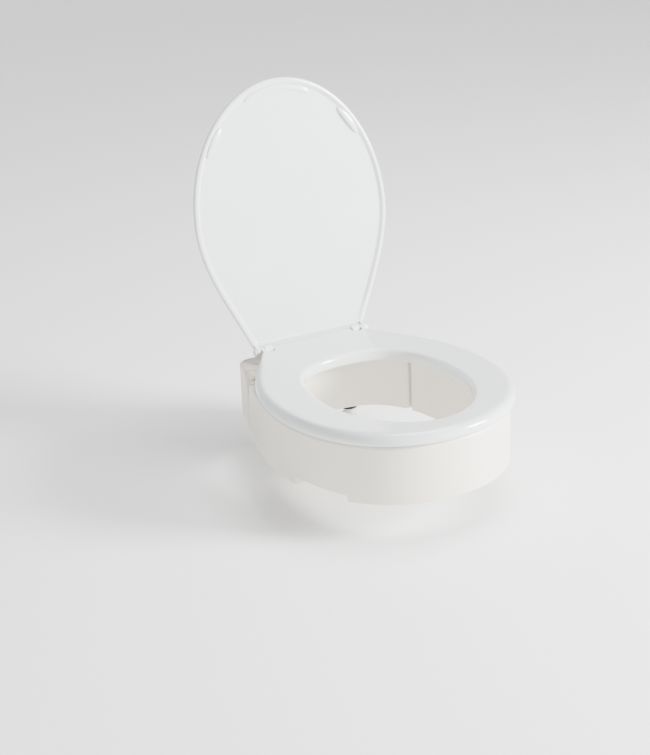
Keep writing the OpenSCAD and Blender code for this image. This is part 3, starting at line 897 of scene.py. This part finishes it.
def make_lid():
    loops = []

    def level(inset, z):
        loops.append(np.c_[lid_loop(inset), np.full(LID_POINTS, float(z))])

    def disc(inset, z_edge, z_mid, shares):
        edge = lid_loop(inset)
        mid = np.array([0, LID_WIDE])
        for s in shares:
            z = z_mid + (z_edge - z_mid) * s * s
            loops.append(np.c_[mid + (edge - mid) * s, np.full(LID_POINTS, z)])

    shares = [0.02, 0.15, 0.3, 0.45, 0.6, 0.75, 0.88, 0.96]
    panel_in, rim_in = LID_RIM_W + 3.5, LID_RIM_W - 2.5
    disc(panel_in, LID_PANEL, LID_PANEL + 0.9, shares)
    level(panel_in, LID_PANEL)
    for t in np.linspace(0, 1, 9)[1:]:
        level(panel_in + (rim_in - panel_in) * t, LID_PANEL + (LID_RIM - LID_PANEL) * t * t * (3 - 2 * t))
    for inset, z in ((4, 0), (2.6, 0.1), (1.2, 0.7), (0.3, 2), (0, 3.6)):
        level(inset, LID_RIM + z)
    dome = LID_TOP - LID_RIM - 4.6
    for a in np.radians(np.linspace(0, 90, 10)):
        level(11 * (1 - math.cos(a)), LID_TOP - 1 - dome + dome * math.sin(a))
    disc(11, LID_TOP - 1, LID_TOP, shares[::-1])
    verts = np.stack(loops)
    fade = np.clip((verts[..., 1] + 60) / 40, 0, 1)
    shallow = 1 - 0.4 * fade * fade * (3 - 2 * fade)
    below = np.minimum(verts[..., 2] - LID_PANEL, 0)
    verts[..., 2] += below * (shallow - 1)
    rows, cols = verts.shape[:2]
    faces = grid_faces(rows, cols, False, True)
    faces.append(tuple(range(cols))[::-1])
    faces.append(tuple((rows - 1) * cols + j for j in range(cols)))
    parts = [(opened(verts.reshape(-1, 3)), faces)]
    parts.append(strip_part(lid_lip_line(), (LID_LIP[0] + LID_LIP[1]) / 2, (LID_LIP[1] - LID_LIP[0]) / 2,
                            LID_PANEL + 0.4, LID_PANEL - LID_LIP[2], 0.12))
    for side in (1, -1):
        ear = ear_part(LID_EAR, [(-11.5, LID_RIM + 2.2), (-11.5, 11), (-8, 11)])
        verts = np.array(ear[0]) - [0, HINGE[1], HINGE[2]]
        ear = opened(verts), ear[1]
        parts.append(on_side(ear, side))
    return add_object("lid_shell", mesh_from("lid_shell", *joined(parts), sharp=50))


def lid_lip_line():
    line = lid_loop(0)
    keep = line[(np.abs(line[:, 0]) < LID_LIP_HW) & (line[:, 1] < LID_WIDE)]
    return keep[np.argsort(keep[:, 0])]


def strip_part(line, inset, half_w, z_root, z_face, taper):
    """Raised strip under the lid that follows its edge, with rounded sides and ends."""
    n = 64
    line = resample(line, n)
    normal = open_normals(line)
    if (normal[n // 2] * (line[n // 2] - [0, LID_WIDE])).sum() < 0:
        normal = -normal
    rows = []
    for k in range(n):
        t = k / (n - 1)
        end = min(t, 1 - t) / taper
        full = math.sqrt(max(0.0, 1 - (1 - min(end, 1)) ** 2))
        w, drop = half_w * max(full, 0.02), (z_root - z_face) * max(full ** 0.7, 0.02)
        row = []
        for u, v in STRIP_SECTION:
            p = line[k] - normal[k] * (inset + u * w)
            row.append((*p, z_root - drop * v))
        rows.append(row)
    verts = np.array(rows)
    cols = verts.shape[1]
    faces = grid_faces(n, cols, False, True)
    faces.append(tuple(range(cols)))
    faces.append(tuple((n - 1) * cols + j for j in range(cols))[::-1])
    return opened(verts.reshape(-1, 3)), faces


def make_lid_bumpers():
    """A crescent on each side, thick in its middle and flush with the rim at its tips."""
    x0, y0, r = LID_FOOT
    parts = []
    for side in (1, -1):
        line = lid_loop(LID_RIM_W - 1)
        near = np.linalg.norm(line - [side * x0, y0], axis=1) < r
        line = line[near]
        line = line[np.argsort(line[:, 1])]
        parts.append(strip_part(line, 5.6, 5.6, LID_PANEL + 0.4, LID_FOOT_Z, 0.5))
    return add_object("lid_bumper_pads", mesh_from("lid_bumper_pads", *joined(parts), sharp=50))


# ---- hinge posts and bowl fasteners ----

def make_post(side):
    foot_top, inside = CAP_LO[2], POST_HI[0] - 13
    parts = [round_box(POST_LO, (POST_HI[0] - 0.5, POST_HI[1], foot_top), 1.2),
             round_box((inside, HINGE[1] - 6.5, foot_top - 1.5), (POST_HI[0], HINGE[1] + 4, HINGE[2]), 1.0),
             turned(tube_profile(7.5, PIN_HOLE, inside, POST_HI[0], 0.9), (0, HINGE[1], HINGE[2]), "X")]
    parts = [on_side(p, side) for p in parts]
    name = "hinge_post_body_" + ("right" if side > 0 else "left")
    return fused(name, parts, 0.45, 3)


def make_cap(side):
    """Snap cap over a bolt head, with a lip to lift it by."""
    low, high = CAP_LO + 0.1, CAP_HI - [0.1, 0.1, 0]
    low[2] += 0.05
    parts = [round_box(low, high - [0, 2, 0.5], 1.4),
             round_box((low[0] + 2, low[1] + 2, low[2] + 1), (high[0] - 2, high[1] - 4, high[2]), 1.1),
             round_box((low[0] + 6, high[1] - 4, low[2]), (high[0] - 6, high[1], low[2] + 2), 0.7)]
    parts = [on_side(p, side) for p in parts]
    name = "cap_body_" + ("right" if side > 0 else "left")
    return fused(name, parts, 0.4, 2)


def make_bolt(side):
    """Moulded bolt with a round head, a plain neck and a rolled thread of round crests."""
    pitch, root, crest, around = 3.0, 3.75, 4.4, 48
    stud_top, thread_top, thread_end = BOTTOM - 1.3, -26.0, BOLT_LO[2]
    rows = []
    z_values = np.arange(thread_end, thread_top, 0.3)
    for z in z_values:
        row = []
        for k in range(around):
            a = 2 * math.pi * k / around
            wave = 0.5 - 0.5 * math.cos(2 * math.pi * (z / pitch + k / around))
            fade = min(1, (z - thread_end) / 2, (thread_top - z) / 1.5)
            share = wave ** 0.8 if fade >= 1 else wave * max(fade, 0)
            r = root + (crest - root) * share
            row.append((r * math.cos(a), r * math.sin(a), z))
        rows.append(row)
    shank = [(4.4, thread_top), (4.5, thread_top + 0.6), (4.5, stud_top), (4.75, stud_top + 0.2),
             (4.75, CAP_LO[2] + 0.05), (7.1, CAP_LO[2] + 0.1), (7.5, CAP_LO[2] + 0.5),
             (7.5, BOLT_HI[2] - 0.6), (7.0, BOLT_HI[2] - 0.1), (1.6, BOLT_HI[2])]
    for r, z in shank:
        rows.append([(r * math.cos(2 * math.pi * k / around), r * math.sin(2 * math.pi * k / around), z)
                     for k in range(around)])
    verts = np.array(rows).reshape(-1, 3) + [BOLT_X, 0, 0]
    faces = grid_faces(len(rows), around, False, True)
    faces.append(tuple(range(around))[::-1])
    faces.append(tuple((len(rows) - 1) * around + k for k in range(around)))
    part = verts, faces
    name = "bolt_body_" + ("right" if side > 0 else "left")
    if side < 0:
        part = [(x - 2 * BOLT_X, y, z) for x, y, z in verts], faces
    return add_object(name, mesh_from(name, *part, sharp=60))


def make_nut(side):
    """Wing nut with a waisted hub and two rounded ears."""
    top, low = NUT_HI[2], NUT_LO[2]
    hub = [(4.55, top), (8.6, top), (9.0, top - 0.6), (9.0, top - 3), (7.9, top - 6),
           (7.6, top - 10.2), (7.0, top - 11), (4.55, top - 11)]
    parts = [turned(hub, (BOLT_X, 0, 0), "Z")]
    reach = NUT_HI[0] - BOLT_X
    for turn in (1, -1):
        x0, x1 = sorted((BOLT_X + turn * 6.2, BOLT_X + turn * reach))
        parts.append(round_box((x0, -1.7, low + 3), (x1, 1.7, top - 3), 1.5))
        tip0, tip1 = sorted((BOLT_X + turn * (reach - 8), BOLT_X + turn * reach))
        parts.append(round_box((tip0, -1.75, low), (tip1, 1.75, top - 4), 1.6))
    parts = [on_side(p, side) for p in parts]
    name = "nut_body_" + ("right" if side > 0 else "left")
    return fused(name, parts, 0.4, 3)


# ---- pieces in place ----

settle(make_ring(), "riser", "riser_plastic", RISER_PLASTIC, "riser_ring")
settle(make_block(), "base", "riser_plastic", RISER_PLASTIC, "rear_block")
settle(make_seat(), "seat", "seat_plastic", SEAT_PLASTIC, "seat_ring")
settle(make_lid(), "lid", "seat_plastic", SEAT_PLASTIC, "lid")
settle(make_lid_bumpers(), "lid", "seat_plastic", SEAT_PLASTIC, "lid_bumpers")
for side, word in ((1, "right"), (-1, "left")):
    settle(make_post(side), "base", "hinge_plastic", HINGE_PLASTIC, "hinge_post_" + word)
    settle(make_cap(side), "base", "hinge_plastic", HINGE_PLASTIC, "bolt_cap_" + word)
    settle(make_bolt(side), "base", "fastener_nylon", NYLON, "bowl_bolt_" + word)
    settle(make_nut(side), "nut_" + word, "fastener_nylon", NYLON, "wing_nut_" + word)

SLOT_MATERIALS = {"riser_plastic": RISER_PLASTIC, "seat_plastic": SEAT_PLASTIC,
                  "hinge_plastic": HINGE_PLASTIC, "fastener_nylon": NYLON,
                  "bush_plastic": BUSH_PLASTIC, "foot_rubber": FOOT_RUBBER,
                  "washer_rubber": BLACK_RUBBER, "washer_steel": STEEL}
for part in frame["record"]["subparts"]:
    node = frame["nodes"][part["node"]]
    for place in node.material_slots:
        place.material = SLOT_MATERIALS[part["material_slot"]]

# ---- floor, light and camera ----

FLOOR_Z = CAD_BOX[0].z


def pale_surface(name, colour, glow):
    mat = bpy.data.materials.new(name)
    mat.use_nodes = True
    shader = mat.node_tree.nodes["Principled BSDF"]
    shader.inputs["Base Color"].default_value = (*colour, 1)
    shader.inputs["Roughness"].default_value = 0.75
    shader.inputs["Specular IOR Level"].default_value = 0.2
    shader.inputs["Emission Color"].default_value = (1, 1, 1, 1)
    shader.inputs["Emission Strength"].default_value = glow
    return mat


def make_floor():
    """Round pale floor that curves up into a wall a long way off on every side."""
    flat, bend, wall_top, around = 4.5, 2.5, 6.0, 72
    line = [(0.01, 0.0), (1.5, 0.0), (flat, 0.0)]
    line += [(flat + bend * math.sin(a), bend - bend * math.cos(a))
             for a in np.radians(np.linspace(6, 90, 15))]
    line.append((flat + bend, wall_top))
    verts, faces = turned([(r / MM, (FLOOR_Z + z) / MM) for r, z in line], (0, 0, 0), "Z", around)
    cols = len(line)
    faces = [f for f in faces if not {0, cols - 1} <= {i % cols for i in f}]
    faces.append(tuple(k * cols for k in range(around)))
    floor = add_object("floor", mesh_from("floor", verts, faces))
    floor.data.materials.append(pale_surface("floor_pale", (0.95, 0.95, 0.95), 0.3))


def add_softbox(name, location, target, size, watts):
    data = bpy.data.lights.new(name, "AREA")
    data.shape = "RECTANGLE"
    data.size, data.size_y = size
    data.energy = watts
    light = bpy.data.objects.new(name, data)
    light.location = location
    light.rotation_euler = (Vector(target) - Vector(location)).to_track_quat("-Z", "Y").to_euler()
    bpy.context.scene.collection.objects.link(light)


def make_world(strength):
    world = bpy.data.worlds.new("studio")
    world.use_nodes = True
    back = world.node_tree.nodes["Background"]
    back.inputs["Color"].default_value = (0.96, 0.98, 1.0, 1)
    back.inputs["Strength"].default_value = strength
    bpy.context.scene.world = world


def make_camera(azimuth, elevation, roll, distance, target, focal_share):
    """Looks at target from the side given by azimuth and elevation.
    focal_share is the focal length over the frame's height."""
    a, e = math.radians(azimuth), math.radians(elevation)
    back = Vector((math.sin(a) * math.cos(e), -math.cos(a) * math.cos(e), math.sin(e)))
    right = Vector((math.cos(a), math.sin(a), 0))
    up = back.cross(right)
    r = math.radians(roll)
    right, up = right * math.cos(r) + up * math.sin(r), up * math.cos(r) - right * math.sin(r)
    data = bpy.data.cameras.new("camera")
    data.sensor_fit = "VERTICAL"
    data.sensor_height = 36
    data.sensor_width = 36
    data.lens = 36 * focal_share
    data.clip_start, data.clip_end = 0.05, 60
    camera = bpy.data.objects.new("camera", data)
    turn = Matrix((right, up, back)).transposed().to_4x4()
    camera.matrix_world = Matrix.Translation(Vector(target) + back * distance) @ turn
    bpy.context.scene.collection.objects.link(camera)
    bpy.context.scene.camera = camera


make_floor()
make_world(strength=0.2)
add_softbox("key", (2.0, -2.1, 1.1), target=(0, -0.2, 0.05), size=(0.9, 0.9), watts=380)
add_softbox("top", (0.6, -0.3, 2.4), target=(0, -0.2, 0), size=(1.2, 1.2), watts=60)
# the camera solved from the outlines in the photo
make_camera(azimuth=-28.887, elevation=22.009, roll=-2.307, distance=2.2,
            target=(-0.25462, -0.51199, 0.26886), focal_share=2.34413)
